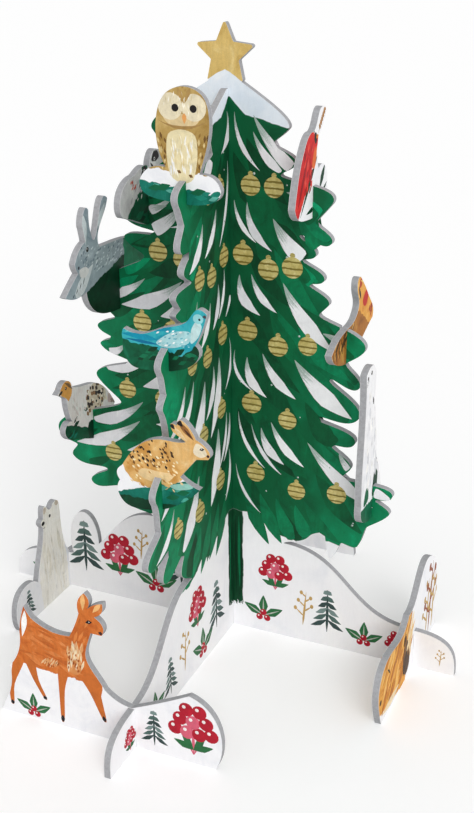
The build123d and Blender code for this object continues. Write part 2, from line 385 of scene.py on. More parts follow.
# %% Watercolour group
PIGMENT_GRAIN = 2200.0
BRUSH_HAIRS = 900, 900, 160
watercolour, into, out = new_group(
    "Watercolour",
    {"Vector": "v", "Dark": "c", "Middle": "c", "Light": "c", "Scale": "f", "Streaks": "f"},
    {"Color": "c", "Height": "f"},
)
pools = noise(watercolour, into["Vector"], into["Scale"], 5.0, 0.6, 0.8)
grains = noise(watercolour, into["Vector"], PIGMENT_GRAIN, 3.0, 0.7)
hairs = noise(watercolour, stretch(watercolour, into["Vector"], BRUSH_HAIRS), 1.0, 3.0)
body = mix(watercolour, ramp(watercolour, pools, 0.30, 0.52), into["Dark"], into["Middle"])
body = mix(watercolour, ramp(watercolour, pools, 0.52, 0.74), body, into["Light"])
grainy, hairy = (ramp(watercolour, effect, 0.3, 0.7, -0.5, 0.5) for effect in (grains, hairs))
depth = times(watercolour, plus(watercolour, grainy, hairy), into["Streaks"])
washed = tone(watercolour, body, plus(watercolour, depth, 1.0))
watercolour.links.new(washed, out["Color"])
watercolour.links.new(grains, out["Height"])
print("group:", watercolour.name)

# %% Dry brush group
PAPER_GRAIN = 1400.0
HAIR_SHARE = 0.75
dry_brush, into, out = new_group(
    "Dry brush", {"Brush": "v", "Vector": "v", "Amount": "f"}, {"Mask": "f"}
)
hairs = noise(dry_brush, stretch(dry_brush, into["Brush"], (2.2, 7.0, 1.0)), 1.0, 4.0, 0.65)
tooth = noise(dry_brush, into["Vector"], PAPER_GRAIN, 3.0, 0.7)
along = add(dry_brush, "ShaderNodeSeparateXYZ", {"Vector": into["Brush"]}).outputs["X"]
start = ramp(dry_brush, along, 0.05, 0.6, 0.30, -0.12)
worn = plus(dry_brush, times(dry_brush, hairs, HAIR_SHARE), times(dry_brush, tooth, 1 - HAIR_SHARE))
worn = plus(dry_brush, worn, start)
mask = times(dry_brush, ramp(dry_brush, worn, 0.54, 0.78), into["Amount"], True)
dry_brush.links.new(mask, out["Mask"])
print("group:", dry_brush.name)

# %% Board group
EDGE_GREY = paint(176, 177, 180)
EDGE_DARK = paint(156, 156, 159)
LINER = paint(212, 212, 213)
LINER_FROM, LINER_FULL = 1.3 * MM, 1.42 * MM
FIBRE_SCALE, PLY_SCALE = 750.0, 5200.0
FACE_FROM, FACE_FULL = 0.55, 0.85
board_edge, into, out = new_group(
    "Board",
    {"Vector": "v", "Facing": "f", "Depth": "f", "Print": "c"},
    {"Color": "c", "Roughness": "f", "Height": "f"},
)
face = ramp(board_edge, into["Facing"], FACE_FROM, FACE_FULL)
fibres = noise(board_edge, into["Vector"], FIBRE_SCALE, 5.0, 0.7)
plies = times(board_edge, into["Depth"], PLY_SCALE)
plies = add(board_edge, "ShaderNodeTexNoise", {"W": plies}, noise_dimensions="1D").outputs["Fac"]
grey = mix(board_edge, ramp(board_edge, fibres, 0.3, 0.7), EDGE_DARK, EDGE_GREY)
grey = mix(board_edge, ramp(board_edge, plies, 0.45, 0.75, 0.0, 0.35), grey, EDGE_DARK)
liner = ramp(board_edge, math_node(board_edge, "ABSOLUTE", into["Depth"]), LINER_FROM, LINER_FULL)
grey = mix(board_edge, liner, grey, LINER)
board_edge.links.new(mix(board_edge, face, grey, into["Print"]), out["Color"])
board_edge.links.new(ramp(board_edge, face, 0.0, 1.0, 0.92, 0.62), out["Roughness"])
board_edge.links.new(fibres, out["Height"])
print("group:", board_edge.name)

# %% [markdown]
# Printed boards
#
# The CAD boards keep their own meshes and get a finish that reads Object coordinates, which are the
# row frame itself. The tree panels have large fields: fir green above a wavy hem, snow white below
# it, and gold for the star. An animal has a wash for its coat and one for each leaf or bank of snow
# that it sits on. Such a field is all that lies to the left of a few straight lines, so it runs out
# to the cut edge of the board, and a little noise gives the lines a painter's hand.

# %% A blank material and a board finish
PAPER_TOOTH = 0.00004


def blank(name, roughness=0.6):
    """A new material: its node tree, its shader and its object coordinates."""
    made = bpy.data.materials.new(name)
    made.use_nodes = True
    tree = made.node_tree
    shader = tree.nodes["Principled BSDF"]
    shader.inputs["Roughness"].default_value = roughness
    shader.inputs["Specular IOR Level"].default_value = 0.2
    coords = tree.nodes.new("ShaderNodeTexCoord")
    return made, tree, shader, coords


def roughen(tree, shader, height, distance=PAPER_TOOTH, strength=0.5):
    """Feeds a height into the shader's normal."""
    values = {"Height": height, "Strength": strength, "Distance": distance}
    bump = add(tree, "ShaderNodeBump", values)
    tree.links.new(bump.outputs["Normal"], shader.inputs["Normal"])


def board_sockets(tree, coords, node):
    """Sockets for a board: place along it, height, depth from its middle, and how it faces us."""
    place_xyz = add(tree, "ShaderNodeSeparateXYZ", {"Vector": coords.outputs["Object"]}).outputs
    normal = add(tree, "ShaderNodeSeparateXYZ", {"Vector": coords.outputs["Normal"]}).outputs
    low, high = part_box(node)
    thin, wide = ("Y", "X") if faces_front(node) else ("X", "Y")
    middle = (low.y + high.y) / 2 if thin == "Y" else (low.x + high.x) / 2
    depth = minus(tree, place_xyz[thin], middle)
    return place_xyz[wide], place_xyz["Z"], depth, math_node(tree, "ABSOLUTE", normal[thin])


def finish_board(tree, shader, coords, facing, depth, colour):
    """Puts a print on the faces of a board and bare fibres on its edge."""
    values = {"Vector": coords.outputs["Object"], "Facing": facing, "Depth": depth, "Print": colour}
    made = place(tree, board_edge, values)
    tree.links.new(made["Color"], shader.inputs["Base Color"])
    tree.links.new(made["Roughness"], shader.inputs["Roughness"])
    roughen(tree, shader, made["Height"])


def wash(tree, where, tones, scale, streaks):
    """A watercolour wash from its dark, middle and light tones."""
    values = dict(zip(("Dark", "Middle", "Light"), tones))
    return place(tree, watercolour, values | {"Vector": where, "Scale": scale, "Streaks": streaks})


print("board finish ready")

# %% Tree panels: green boughs, white hills, gold star
DEEP = paint(0, 68, 38)
FIR = paint(0, 98, 58)
EMERALD = paint(0, 152, 102)
SNOW_TONES = paints((236, 237, 241), (245, 245, 247), (249, 249, 249))
CAP_TONES = paints((216, 227, 238), (228, 236, 244), (238, 243, 248))
STAR_TONES = paints((196, 164, 92), (214, 184, 112), (230, 208, 146))
STAR_FOOT = 261.5
TRUNK_TONES = paints((0, 46, 24), (2, 62, 34), (6, 80, 46))
TRUNK_REACH, TRUNK_FOOT = 6.4, 12.5
FIELD_EDGE = 0.2 * MM
HAND_WAVE = 1.6 * MM
GREEN_DRIFT = 20 * MM
ICICLE_RISE = 7 * MM
STAR_SHINE = 0.18


def hem_line(tree, node, along, reach):
    """Height of the skirt's hem, which falls away from the spine."""
    hem = ramp(tree, reach, 4 * MM, 32 * MM, 63 * MM, 53 * MM)
    hem = plus(tree, hem, ramp(tree, reach, 34 * MM, 50 * MM, 0.0, -5 * MM))
    if node == "wide_panel":
        begin = ramp(tree, along, 38 * MM, 43 * MM)
        end = ramp(tree, along, 54 * MM, 58 * MM, 1.0, 0.0)
        hem = plus(tree, hem, times(tree, times(tree, begin, end), ICICLE_RISE))
    return hem


def cap_line(tree, reach):
    """Height of the lower edge of the snow cap."""
    flat = ramp(tree, reach, 9 * MM, 27 * MM, 244 * MM, 240 * MM, False)
    return plus(tree, flat, ramp(tree, reach, 2 * MM, 9 * MM, 7 * MM, 0.0, False))


def tree_board(node):
    """The fields of a tree panel."""
    made, tree, shader, coords = blank(node + "_board")
    along, height, depth, facing = board_sockets(tree, coords, node)
    where = coords.outputs["Object"]
    reach = math_node(tree, "ABSOLUTE", along)
    wave = ramp(tree, noise(tree, where, 130.0, 2.0), 0.2, 0.8, -HAND_WAVE, HAND_WAVE, False)
    inner = wash(tree, where, (DEEP, blend(DEEP, FIR, 0.6), FIR), 40.0, 0.07)
    outer = wash(tree, where, (FIR, blend(FIR, EMERALD, 0.45), EMERALD), 60.0, 0.07)
    drift = ramp(tree, noise(tree, where, 45.0, 3.0), 0.2, 0.8, -GREEN_DRIFT, GREEN_DRIFT, False)
    spread = ramp(tree, plus(tree, reach, drift), 24 * MM, 66 * MM)
    colour = mix(tree, spread, inner["Color"], outer["Color"])
    above = minus(tree, plus(tree, height, wave), hem_line(tree, node, along, reach))
    snow = wash(tree, where, SNOW_TONES, 30.0, 0.02)
    colour = mix(tree, ramp(tree, above, -FIELD_EDGE, FIELD_EDGE), snow["Color"], colour)
    bark = wash(tree, stretch(tree, where, (5, 5, 1)), TRUNK_TONES, 60.0, 0.10)
    ragged = ramp(tree, noise(tree, where, 700.0, 2.0), 0.3, 0.7, -2 * MM, 2 * MM, False)
    side, foot = TRUNK_REACH * MM, TRUNK_FOOT * MM
    trunk = plus(tree, reach, times(tree, wave, 0.4))
    trunk = ramp(tree, trunk, side, side + 2 * FIELD_EDGE, 1.0, 0.0)
    foot = ramp(tree, plus(tree, height, ragged), foot, foot + 2 * FIELD_EDGE)
    under = ramp(tree, above, -FIELD_EDGE, FIELD_EDGE, 1.0, 0.0)
    trunk = times(tree, times(tree, trunk, foot), under)
    colour = mix(tree, trunk, colour, bark["Color"])
    cap = wash(tree, where, CAP_TONES, 60.0, 0.03)
    above = plus(tree, height, times(tree, wave, 0.5))
    above = minus(tree, above, cap_line(tree, reach))
    colour = mix(tree, ramp(tree, above, -FIELD_EDGE, FIELD_EDGE), colour, cap["Color"])
    if node == "wide_panel":
        gold = wash(tree, where, STAR_TONES, 110.0, 0.12)
        roof = plus(tree, times(tree, reach, 0.5), times(tree, wave, 0.4))
        roof = minus(tree, plus(tree, height, roof), STAR_FOOT * MM)
        star = ramp(tree, roof, -FIELD_EDGE, FIELD_EDGE)
        colour = mix(tree, star, colour, gold["Color"])
        shine = times(tree, star, ramp(tree, facing, FACE_FROM, FACE_FULL))
        tree.links.new(times(tree, shine, STAR_SHINE), shader.inputs["Metallic"])
    finish_board(tree, shader, coords, facing, depth, colour)
    return made


for node in ("wide_panel", "cross_panel"):
    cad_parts[node].data.materials.clear()
    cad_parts[node].data.materials.append(tree_board(node))
    print("printed:", node)

# %% Animal boards: washes for coats, leaves and snow
SNOWY = (236, 237, 241), (245, 245, 247), (249, 249, 249)
LEAFY = (0, 62, 38), (4, 88, 58), (20, 116, 82)
SHADY = (0, 38, 20), (2, 54, 32), (4, 74, 46)
TEALY = (0, 88, 72), (8, 112, 94), (44, 144, 126)
COATS = {
    "owl": [
        ((146, 112, 48), (180, 148, 84), (206, 178, 116)),
        (SNOWY, ((60, 15), (-60, 19))),
        (TEALY, ((60, -6), (-60, 10))),
    ],
    "blue_bird": [
        SHADY,
        (LEAFY, ((-4, -40), (-4, 40))),
        (
            ((18, 142, 162), (54, 172, 182), (118, 206, 208)),
            ((-60, 10), (-8, 3)), ((-8, 1), (18, -1)), ((18, -1), (40, 15)),
        ),
    ],
    "brown_hare": [
        TEALY,
        (SHADY, ((60, -15), (-60, -13))),
        (SNOWY, ((-50, -13), (-12, 0))),
        (
            ((198, 142, 68), (222, 176, 108), (240, 210, 156)),
            ((-40, 21), (-27, 3)), ((-27, 3), (-8, 0)), ((-8, 0), (8, 1)), ((8, 1), (30, 19)),
        ),
    ],
    "bird_pair": [
        LEAFY,
        (
            ((206, 202, 206), (226, 224, 226), (240, 239, 240)),
            ((-44, 5), (-13, 30)), ((-13, 26), (-13, 60)),
        ),
        (
            ((214, 214, 216), (232, 232, 232), (244, 244, 243)),
            ((-6, 38), (60, 28)), ((-3, 60), (-3, 20)),
        ),
    ],
    "grey_hare": [
        ((136, 152, 163), (164, 179, 188), (200, 212, 218)),
        (SHADY, ((8, 23), (-43, 11))),
        (((4, 106, 70), (14, 132, 92), (40, 156, 114)), ((4, 40), (7, -20))),
    ],
    "partridge": [
        ((240, 228, 226), (248, 241, 239), (253, 250, 248)),
        (LEAFY, ((-8, 2), (-54, 24))),
        (SHADY, ((60, -1), (-12, 10)), ((-12, 30), (-12, -30))),
    ],
    "red_bird": [
        SNOWY,
        (
            ((150, 14, 20), (204, 34, 36), (226, 72, 54)),
            ((-44, -10), (-12, 22)), ((-12, 22), (6, 52)), ((14, 58), (-8, 69)),
        ),
    ],
    "pheasant": [
        ((118, 70, 24), (166, 106, 42), (204, 154, 76)),
        (((206, 128, 46), (226, 164, 74), (238, 194, 108)), ((14, 27), (52, 2))),
    ],
    "ermine": [
        ((232, 233, 236), (243, 243, 244), (249, 249, 249)),
        (LEAFY, ((30, -2), (-30, 3))),
    ],
    "deer": [
        SNOWY,
        (
            ((182, 88, 30), (206, 112, 46), (226, 148, 86)),
            ((-70, 27), (-9, 25)), ((-9.5, 0), (-9.5, 80)),
        ),
    ],
    "bear": [
        SNOWY,
        (
            ((242, 238, 226), (248, 245, 236), (252, 250, 244)),
            ((-3, -5), (-9, 70)), ((-54, 70), (-50, -5)),
        ),
    ],
    "fox": [
        SNOWY,
        (
            ((190, 116, 38), (220, 156, 64), (238, 192, 112)),
            ((-15, -5), (-6, 45)), ((-64, 8), (-8, -3)),
        ),
    ],
    "rear_bank": [SNOWY],
}
COAT_EDGE = 0.15 * MM
COAT_HAND = 0.8 * MM


def left_of(tree, node, along, height, start, end):
    """Distance to the left of a line between two points of an animal's drawing."""
    run = (Vector(end) - Vector(start)).normalized()
    foot = Vector(start) * HUNDREDTH[node] * MM + Vector((0, LAP_HEIGHT.get(node, 0) * MM))
    across = times(tree, along, -run.y)
    up = times(tree, height, run.x)
    return minus(tree, plus(tree, across, up), run.x * foot.y - run.y * foot.x)


def animal_board(node):
    """A board with one wash all over and a wash for each field."""
    made, tree, shader, coords = blank(node + "_board")
    along, height, depth, facing = board_sockets(tree, coords, node)
    where = coords.outputs["Object"]
    ground, *fields = COATS[node]
    hand = ramp(tree, noise(tree, where, 240.0, 2.0), 0.25, 0.75, -COAT_HAND, COAT_HAND, False)
    streaks = 0.02 if ground is SNOWY else 0.10
    colour = wash(tree, where, paints(*ground), 90.0, streaks)["Color"]
    for tones, *lines in fields:
        far = 1.0
        for start, end in lines:
            far = math_node(tree, "MINIMUM", left_of(tree, node, along, height, start, end), far)
        share = ramp(tree, plus(tree, far, hand), -COAT_EDGE, COAT_EDGE)
        streaks = 0.02 if tones is SNOWY else 0.12
        coat = wash(tree, where, paints(*tones), 110.0, streaks)
        colour = mix(tree, share, colour, coat["Color"])
    finish_board(tree, shader, coords, facing, depth, colour)
    return made


for node in COATS:
    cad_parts[node].data.materials.clear()
    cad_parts[node].data.materials.append(animal_board(node))
print("washed:", len(COATS), "animal boards")

# %% [markdown]
# Three inks for the patches
#
# Gouache takes its colour from the patch and lets it drift a little, as hand-mixed paint does. Snow
# is the same paint laid on with a dry brush, so the green under it shows through in streaks. Gold
# ink is a satin metal, with darker bands drawn across the patch's own UV map.

# %% Gouache, snow and gold
def ink_sockets(tree, coords):
    """Sockets for a patch: its place, its own colour and its brush map."""
    colour = add(tree, "ShaderNodeAttribute", attribute_name="ink").outputs["Color"]
    brush = add(tree, "ShaderNodeUVMap", uv_map="brush").outputs["UV"]
    return coords.outputs["Object"], colour, brush


def gouache_ink(name, dark_tone, light_tone, scale, streaks):
    """Opaque paint in the patch's own colour, with a drift of so much dark and light."""
    made, tree, shader, coords = blank(name)
    where, colour, brush = ink_sockets(tree, coords)
    dark, light = tone(tree, colour, dark_tone), tone(tree, colour, light_tone)
    laid = wash(tree, where, (dark, colour, light), scale, streaks)
    thin = place(tree, dry_brush, {"Brush": brush, "Vector": where, "Amount": 0.3})
    tree.links.new(mix(tree, thin["Mask"], laid["Color"], dark), shader.inputs["Base Color"])
    roughen(tree, shader, laid["Height"])
    return made


GREEN_BELOW = paint(104, 142, 124)


def snow_ink():
    """White paint that a dry brush leaves streaky."""
    made, tree, shader, coords = blank("snow_ink", 0.7)
    where, colour, brush = ink_sockets(tree, coords)
    laid = wash(tree, where, (tone(tree, colour, 0.93), colour, paint(250, 250, 251)), 160.0, 0.04)
    worn = place(tree, dry_brush, {"Brush": brush, "Vector": where, "Amount": 0.7})
    colour = mix(tree, worn["Mask"], laid["Color"], GREEN_BELOW)
    tree.links.new(colour, shader.inputs["Base Color"])
    roughen(tree, shader, laid["Height"])
    return made


BAND = paint(126, 112, 52)
BAND_SHAKE = 0.22
BAUBLE_TONES = paint(186, 168, 96), paint(206, 190, 120), paint(228, 216, 156)


def gold_ink():
    """Gold ink with a few loose bands."""
    made, tree, shader, coords = blank("gold_ink", 0.45)
    where, _, brush = ink_sockets(tree, coords)
    loose = add(tree, "ShaderNodeTexNoise", {"Vector": where, "Scale": 420.0, "Detail": 2.0})
    values = {0: loose.outputs["Color"], "Scale": BAND_SHAKE}
    loose = add(tree, "ShaderNodeVectorMath", values, operation="SCALE")
    values = {0: brush, 1: loose.outputs["Vector"]}
    shaken = add(tree, "ShaderNodeVectorMath", values, operation="ADD")
    values = {"Vector": shaken.outputs["Vector"], "Scale": 0.5}
    wave = add(tree, "ShaderNodeTexWave", values, bands_direction="Y")
    bands = ramp(tree, wave.outputs["Fac"], 0.10, 0.28)
    laid = wash(tree, where, BAUBLE_TONES, 320.0, 0.10)
    tree.links.new(mix(tree, bands, BAND, laid["Color"]), shader.inputs["Base Color"])
    tree.links.new(ramp(tree, bands, 0.0, 1.0, 0.05, 0.25), shader.inputs["Metallic"])
    roughen(tree, shader, bands, 0.0001, 0.4)
    return made


gouache = gouache_ink("gouache_ink", 0.80, 1.16, 260.0, 0.08)
bough_paint = gouache_ink("bough_ink", 0.66, 1.42, 110.0, 0.16)
snow_paint, gold_leaf = snow_ink(), gold_ink()
print("inks:", gouache.name, bough_paint.name, snow_paint.name, gold_leaf.name)

# %% [markdown]
# The boughs
#
# A painter would lay the boughs from dark to light: broad green strokes that fan out and droop from
# the spine, then snow on top of them, then gold baubles and a few flecks. The same steps are taken
# here for each wing, with a seeded dice so that the tree is the same at every run. A stroke near
# the spine is steep and one near the tips is flatter, which is how fir boughs hang.

# %% The wings of the tree
CAP_FOOT = 240.0
SKIRT = 64.0
SPINE = 3.4


class Wing:
    """A wing of a panel: its node, its side of the spine, its reach, its slopes and its dice."""

    def __init__(self, node, side, reach, slopes, seed):
        self.node = node
        self.side = side
        self.reach = reach
        self.slopes = slopes
        self.dice = Random(seed)

    def edge(self, v):
        """Distance from the spine to the bough tips at a height."""
        return 25 + (CAP_FOOT - v) / (CAP_FOOT - 84) * (self.reach * 0.95 - 25)

    def spot(self, share, v):
        """Place at a share of the way out to the tips."""
        return Vector((self.side * max(SPINE, share * self.edge(v)), v))

    def fall(self, share, length):
        """Way along a bough that hangs outwards and down."""
        steep, flat = self.slopes
        slope = radians(steep + (flat - steep) * share + self.dice.uniform(-6, 6))
        return Vector((self.side * cos(slope), -sin(slope))) * length


WINGS = [
    Wing("wide_panel", 1, 77, (64, 32), 11), Wing("wide_panel", -1, 89, (40, 12), 12),
    Wing("cross_panel", -1, 85, (78, 42), 13), Wing("cross_panel", 1, 80, (66, 34), 14),
]
print("wings:", len(WINGS))


# %% Green boughs and their hem
def paint_boughs(drawing, wing):
    """Broad green strokes, dark ones near the spine and bright ones at the tips."""
    for _ in range(58):
        share = wing.dice.uniform(0.06, 0.98)
        start = wing.spot(share, wing.dice.uniform(SKIRT + 6, CAP_FOOT - 5))
        bright = min(1.0, max(0.0, share * 1.1 - 0.2 + wing.dice.uniform(-0.35, 0.35)))
        half = blend(DEEP, FIR, min(1.0, bright * 2))
        colour = half if bright < 0.5 else blend(FIR, EMERALD, bright * 2 - 1)
        end = start + wing.fall(share, wing.dice.uniform(22, 40))
        drawing.stroke(start, end, wing.dice.uniform(6, 11), colour, wing.side * -2.5, 0.5, 24)


def paint_hem(drawing, wing):
    """Green tips that hang over the snow hill."""
    for share, length in ((0.10, 15), (0.20, 12), (0.30, 13), (0.42, 9)):
        start = wing.spot(share, SKIRT + 12 - share * 12)
        end = start + Vector((wing.side * 0.45, -1.0)) * (length + 12)
        drawing.stroke(start, end, 7.5, blend(FIR, EMERALD, share), wing.side * -1.0)


# %% Baubles, snow and flecks
FLECK_WHITE = paint(226, 232, 232)
LEDGE_WHITE = paint(238, 237, 241)
SNOW_KINDS = [
    # how many, share of the way out, length, width, room round baubles, room round snow
    (11, (0.12, 0.60), (28, 44), (6.5, 9.0), 7.8, 6.6),
    (15, (0.12, 0.80), (17, 28), (3.6, 5.2), 7.0, 5.0),
    (14, (0.03, 0.22), (20, 38), (1.6, 3.0), 5.4, 3.4),
]


def bauble_spots(wing):
    """Swags of baubles that sag between the spine and the tips."""
    for row in range(5):
        for share in (0.34, 0.66) if row == 0 else (0.18, 0.44, 0.70):
            yield wing.spot(share, 226 - 34 * row - 12 * sin(radians(180 * share)))


def paint_bauble(drawing, spot, width):
    """A round bauble with its cap, if all of it is on the board."""
    corners = [spot + Vector(way) * width * 0.5 for way in ((1, 0), (-1, 0), (0, -1), (0, 1.4))]
    if all(drawing.on_board(corner) for corner in corners):
        drawing.dot(spot.x, spot.y + width * 0.56, width * 0.13, BAUBLE_TONES[1], 1.0, 8)
        drawing.dot(spot.x, spot.y, width * 0.5, BAUBLE_TONES[1], 1.0, 20)


def clear_of(line, spots, gap):
    """True if a stroke's line keeps clear of all spots."""
    return all((line[0].lerp(line[1], k / 8) - s).length > gap for s in spots for k in range(9))


def paint_snow(drawing, wing, spots):
    """Broad, middling and slim snow strokes, clear of the baubles and of each other."""
    laid = []
    dice = wing.dice
    for count, shares, lengths, widths, bauble_room, snow_room in SNOW_KINDS:
        done = 0
        for _ in range(260):
            share = dice.uniform(*shares)
            start = wing.spot(share, dice.uniform(SKIRT + 18, CAP_FOOT + 6))
            line = start, start + wing.fall(share, dice.uniform(*lengths))
            width, bow, pale = dice.uniform(*widths), dice.uniform(2, 4), dice.random()
            if line[1].y < SKIRT - 2 or done == count:
                continue
            if not clear_of(line, spots, bauble_room) or not clear_of(line, laid, snow_room):
                continue
            tint = blend(paint(228, 227, 232), paint(247, 247, 249), pale)
            drawing.stroke(line[0], line[1], width, tint, wing.side * -bow, 0.6, 24)
            laid += [line[0].lerp(line[1], k / 6) for k in range(7)]
            done += 1


def paint_flecks(drawing, wing):
    """Fine snow flecks."""
    for _ in range(16):
        spot = wing.spot(wing.dice.uniform(0.05, 0.9), wing.dice.uniform(SKIRT, CAP_FOOT))
        drawing.dot(spot.x, spot.y, wing.dice.uniform(0.25, 0.55), FLECK_WHITE, 1.0, 8)


# %% Paint the boughs of both panels
LEDGES = {
    ("wide_panel", 1): [((27, 214), (48, 207)), ((44, 155), (63, 146)), ((57, 86), (78, 82))],
    ("wide_panel", -1): [
        ((-28, 203), (-49, 195)), ((-43, 169), (-66, 159)), ((-60, 98), (-89, 88)),
    ],
    ("cross_panel", -1): [
        ((-22, 230), (-46, 217)), ((-50, 167), (-66, 156)), ((-60, 113), (-74, 101)),
    ],
    ("cross_panel", 1): [((28, 214), (50, 207)), ((46, 155), (66, 146)), ((59, 86), (81, 82))],
}
painted = {}
for node in ("wide_panel", "cross_panel"):
    wings = [w for w in WINGS if w.node == node]
    greens = Drawing(node)
    for wing in wings:
        paint_boughs(greens, wing)
        paint_hem(greens, wing)
    snows = Drawing(node, greens)
    spots = {wing: list(bauble_spots(wing)) for wing in wings}
    for wing in wings:
        paint_snow(snows, wing, spots[wing])
        paint_flecks(snows, wing)
        for start, end in LEDGES[node, wing.side]:
            snows.stroke(start, end, 5.5, LEDGE_WHITE, wing.side * 1.0, 0.6)
    golds = Drawing(node, snows)
    for wing in wings:
        for spot in spots[wing]:
            paint_bauble(golds, spot, wing.dice.uniform(8.4, 9.4))
    greens.press(node + "_boughs", bough_paint)
    snows.press(node + "_snow", snow_paint)
    golds.press(node + "_baubles", gold_leaf)
    painted[node] = golds

# %% [markdown]
# The snow hills
#
# The white hills carry small winter plants: berry bushes, holly, fir saplings and bare twigs. Each
# is a little recipe of patches, so a plant can be set down anywhere with one line.

# %% Berry bush and holly
CRIMSON = paint(180, 24, 46)
PINK = paint(214, 96, 118)
BERRY_LIGHT = paint(246, 238, 236)
HOLLY_GREEN = paint(40, 104, 60)
HOLLY_VEIN = blend(HOLLY_GREEN, BERRY_LIGHT, 0.5)
BERRIES = [
    (-0.36, 0.52), (-0.12, 0.48), (0.12, 0.48), (0.36, 0.52), (-0.26, 0.75), (0.0, 0.72),
    (0.26, 0.75), (-0.13, 0.97), (0.13, 0.97),
]


def heading(turn):
    """Way that is so many degrees to the right of straight up."""
    return Vector((sin(radians(turn)), cos(radians(turn))))


def berry(drawing, u, v, radius, colour):
    """A round berry with a light on it."""
    drawing.dot(u, v, radius, colour, 1.0, 14)
    drawing.dot(u - radius * 0.3, v + radius * 0.35, radius * 0.26, BERRY_LIGHT, 1.0, 8)


def berry_bush(drawing, u, v, size):
    """A small round bush that is full of red berries."""
    for x in (-0.24, 0.0, 0.24):
        drawing.stroke((u, v), (u + size * x, v + size * 0.6), size * 0.07, PINK, 0, 0.4, 10)
    fork = Vector((u, v + size * 0.12))
    for turn in (-70, -35, 35, 70):
        tip = fork + heading(turn) * size * 0.42
        drawing.stroke(fork, tip, size * 0.15, HOLLY_GREEN, 0, 0.5, 12)
    for index, (x, y) in enumerate(BERRIES):
        colour = PINK if index % 4 == 1 else CRIMSON
        berry(drawing, u + size * x, v + size * y, size * 0.145, colour)


def holly(drawing, u, v, size):
    """Three pointed leaves and three berries."""
    heart = Vector((u, v + size * 0.2))
    for turn in (-62, 0, 62):
        tip = heart + heading(turn) * size * 0.85
        drawing.stroke(heart, tip, size * 0.36, HOLLY_GREEN, 0, 0.5, 16)
        drawing.stroke(heart, heart.lerp(tip, 0.85), size * 0.06, HOLLY_VEIN, 0, 0.4, 10)
    for x, y in ((-0.15, 0.12), (0.15, 0.12), (0.0, 0.34)):
        berry(drawing, u + size * x, v + size * y, size * 0.13, CRIMSON)


# %% Fir sapling and bare twig
SAPLING = paints((52, 72, 70), (78, 104, 98), (116, 138, 134))
STRAW = paint(194, 158, 92)


def sapling(drawing, u, v, size):
    """A young fir with drooping tiers."""
    drawing.stroke((u, v), (u, v + size), size * 0.07, SAPLING[0], 0, 0.3, 10)
    for tier in range(6):
        height = v + size * (0.26 + 0.13 * tier)
        reach = size * (0.34 - 0.05 * tier)
        for side in (1, -1):
            root, tip = (u, height + size * 0.05), (u + side * reach, height - reach * 0.45)
            bend = side * size * -0.02
            drawing.stroke(root, tip, size * 0.11, SAPLING[tier % 3], bend, 0.5, 12)


def twig(drawing, u, v, size, colour=STRAW):
    """A bare twig with side shoots and a bud on each."""
    foot, top = Vector((u, v)), Vector((u + size * 0.08, v + size))
    drawing.stroke(foot, top, size * 0.07, colour, 0, 0.3, 10)
    for shoot in range(5):
        fork = foot.lerp(top, 0.28 + 0.14 * shoot)
        side = 1 if shoot % 2 else -1
        tip = fork + Vector((side * 0.22, 0.20)) * size * (1 - 0.12 * shoot)
        drawing.stroke(fork, tip, size * 0.05, colour, 0, 0.3, 10)
        drawing.dot(tip.x, tip.y, size * 0.045, colour, 1.3, 8)


# %% Trunk and plants on the hills
TRUNK_DARK = paint(0, 44, 22)
TRUNK_STROKES = [
    # distance from the spine, foot, width, colour
    (3.0, 17, 1.4, TRUNK_DARK),
    (4.6, 21, 1.6, blend(FIR, EMERALD, 0.2)),
    (5.6, 15, 1.2, TRUNK_DARK),
]


def paint_trunk(drawing, side):
    """A few upright strokes on the trunk."""
    for u, low, width, colour in TRUNK_STROKES:
        drawing.stroke((side * u, 60), (side * (u + 0.3), low), width, colour, 0, 0.5, 20)


hills = Drawing("wide_panel", painted["wide_panel"])
for side in (1, -1):
    paint_trunk(hills, side)
for plant, u, v, size in (
    (berry_bush, 23, 24, 17), (holly, 17, 6, 13), (twig, 37, 8, 19), (sapling, 49, 7, 24),
    (holly, 67, 5, 12), (berry_bush, 83, 3, 12), (twig, 103, 3, 9),
    (sapling, -26, 13, 27), (holly, -40, 8, 15), (twig, -48, 24, 17), (berry_bush, -60, 12, 21),
    (sapling, -79.4, 10, 30), (holly, -103, 2, 11),
):
    plant(hills, u, v, size)
hills.press("wide_panel_plants", gouache)

banks = Drawing("cross_panel", painted["cross_panel"])
for side in (1, -1):
    paint_trunk(banks, side)
for plant, u, v, size in (
    (sapling, -21, 9, 27), (berry_bush, -41, 22, 18), (holly, -36, 4, 14), (twig, -55, 7, 21),
    (sapling, -69, 4, 20), (holly, -84, 3, 12), (berry_bush, -107, 2, 10),
    (sapling, 26, 12, 26), (berry_bush, 48, 8, 19), (holly, 68, 5, 13), (twig, 95, 3, 11),
):
    plant(banks, u, v, size)
banks.press("cross_panel_plants", gouache)

# %% [markdown]
# The animals
#
# The washes of the boards already give each animal its coat and its perch. What is left is the fine
# brushwork: feathers, fur, stripes and the face. The marks are laid one after another, mostly
# fields and flecks before the face, and a later mark lies over an earlier one.

# %% Shared dabs for animals
BLACK = paint(28, 24, 24)
WHITE = paint(246, 245, 242)
LEAF = paint(6, 96, 62)
LEAF_DARK = paint(2, 56, 34)
TEAL = paint(20, 126, 106)
BROWN = paint(112, 82, 42)


def bead(drawing, u, v, radius):
    """A dark bead of an eye with a light in it."""
    drawing.dot(u, v, radius, BLACK, 1.0, 12)
    drawing.dot(u - radius * 0.3, v + radius * 0.35, radius * 0.32, WHITE, 1.0, 8)


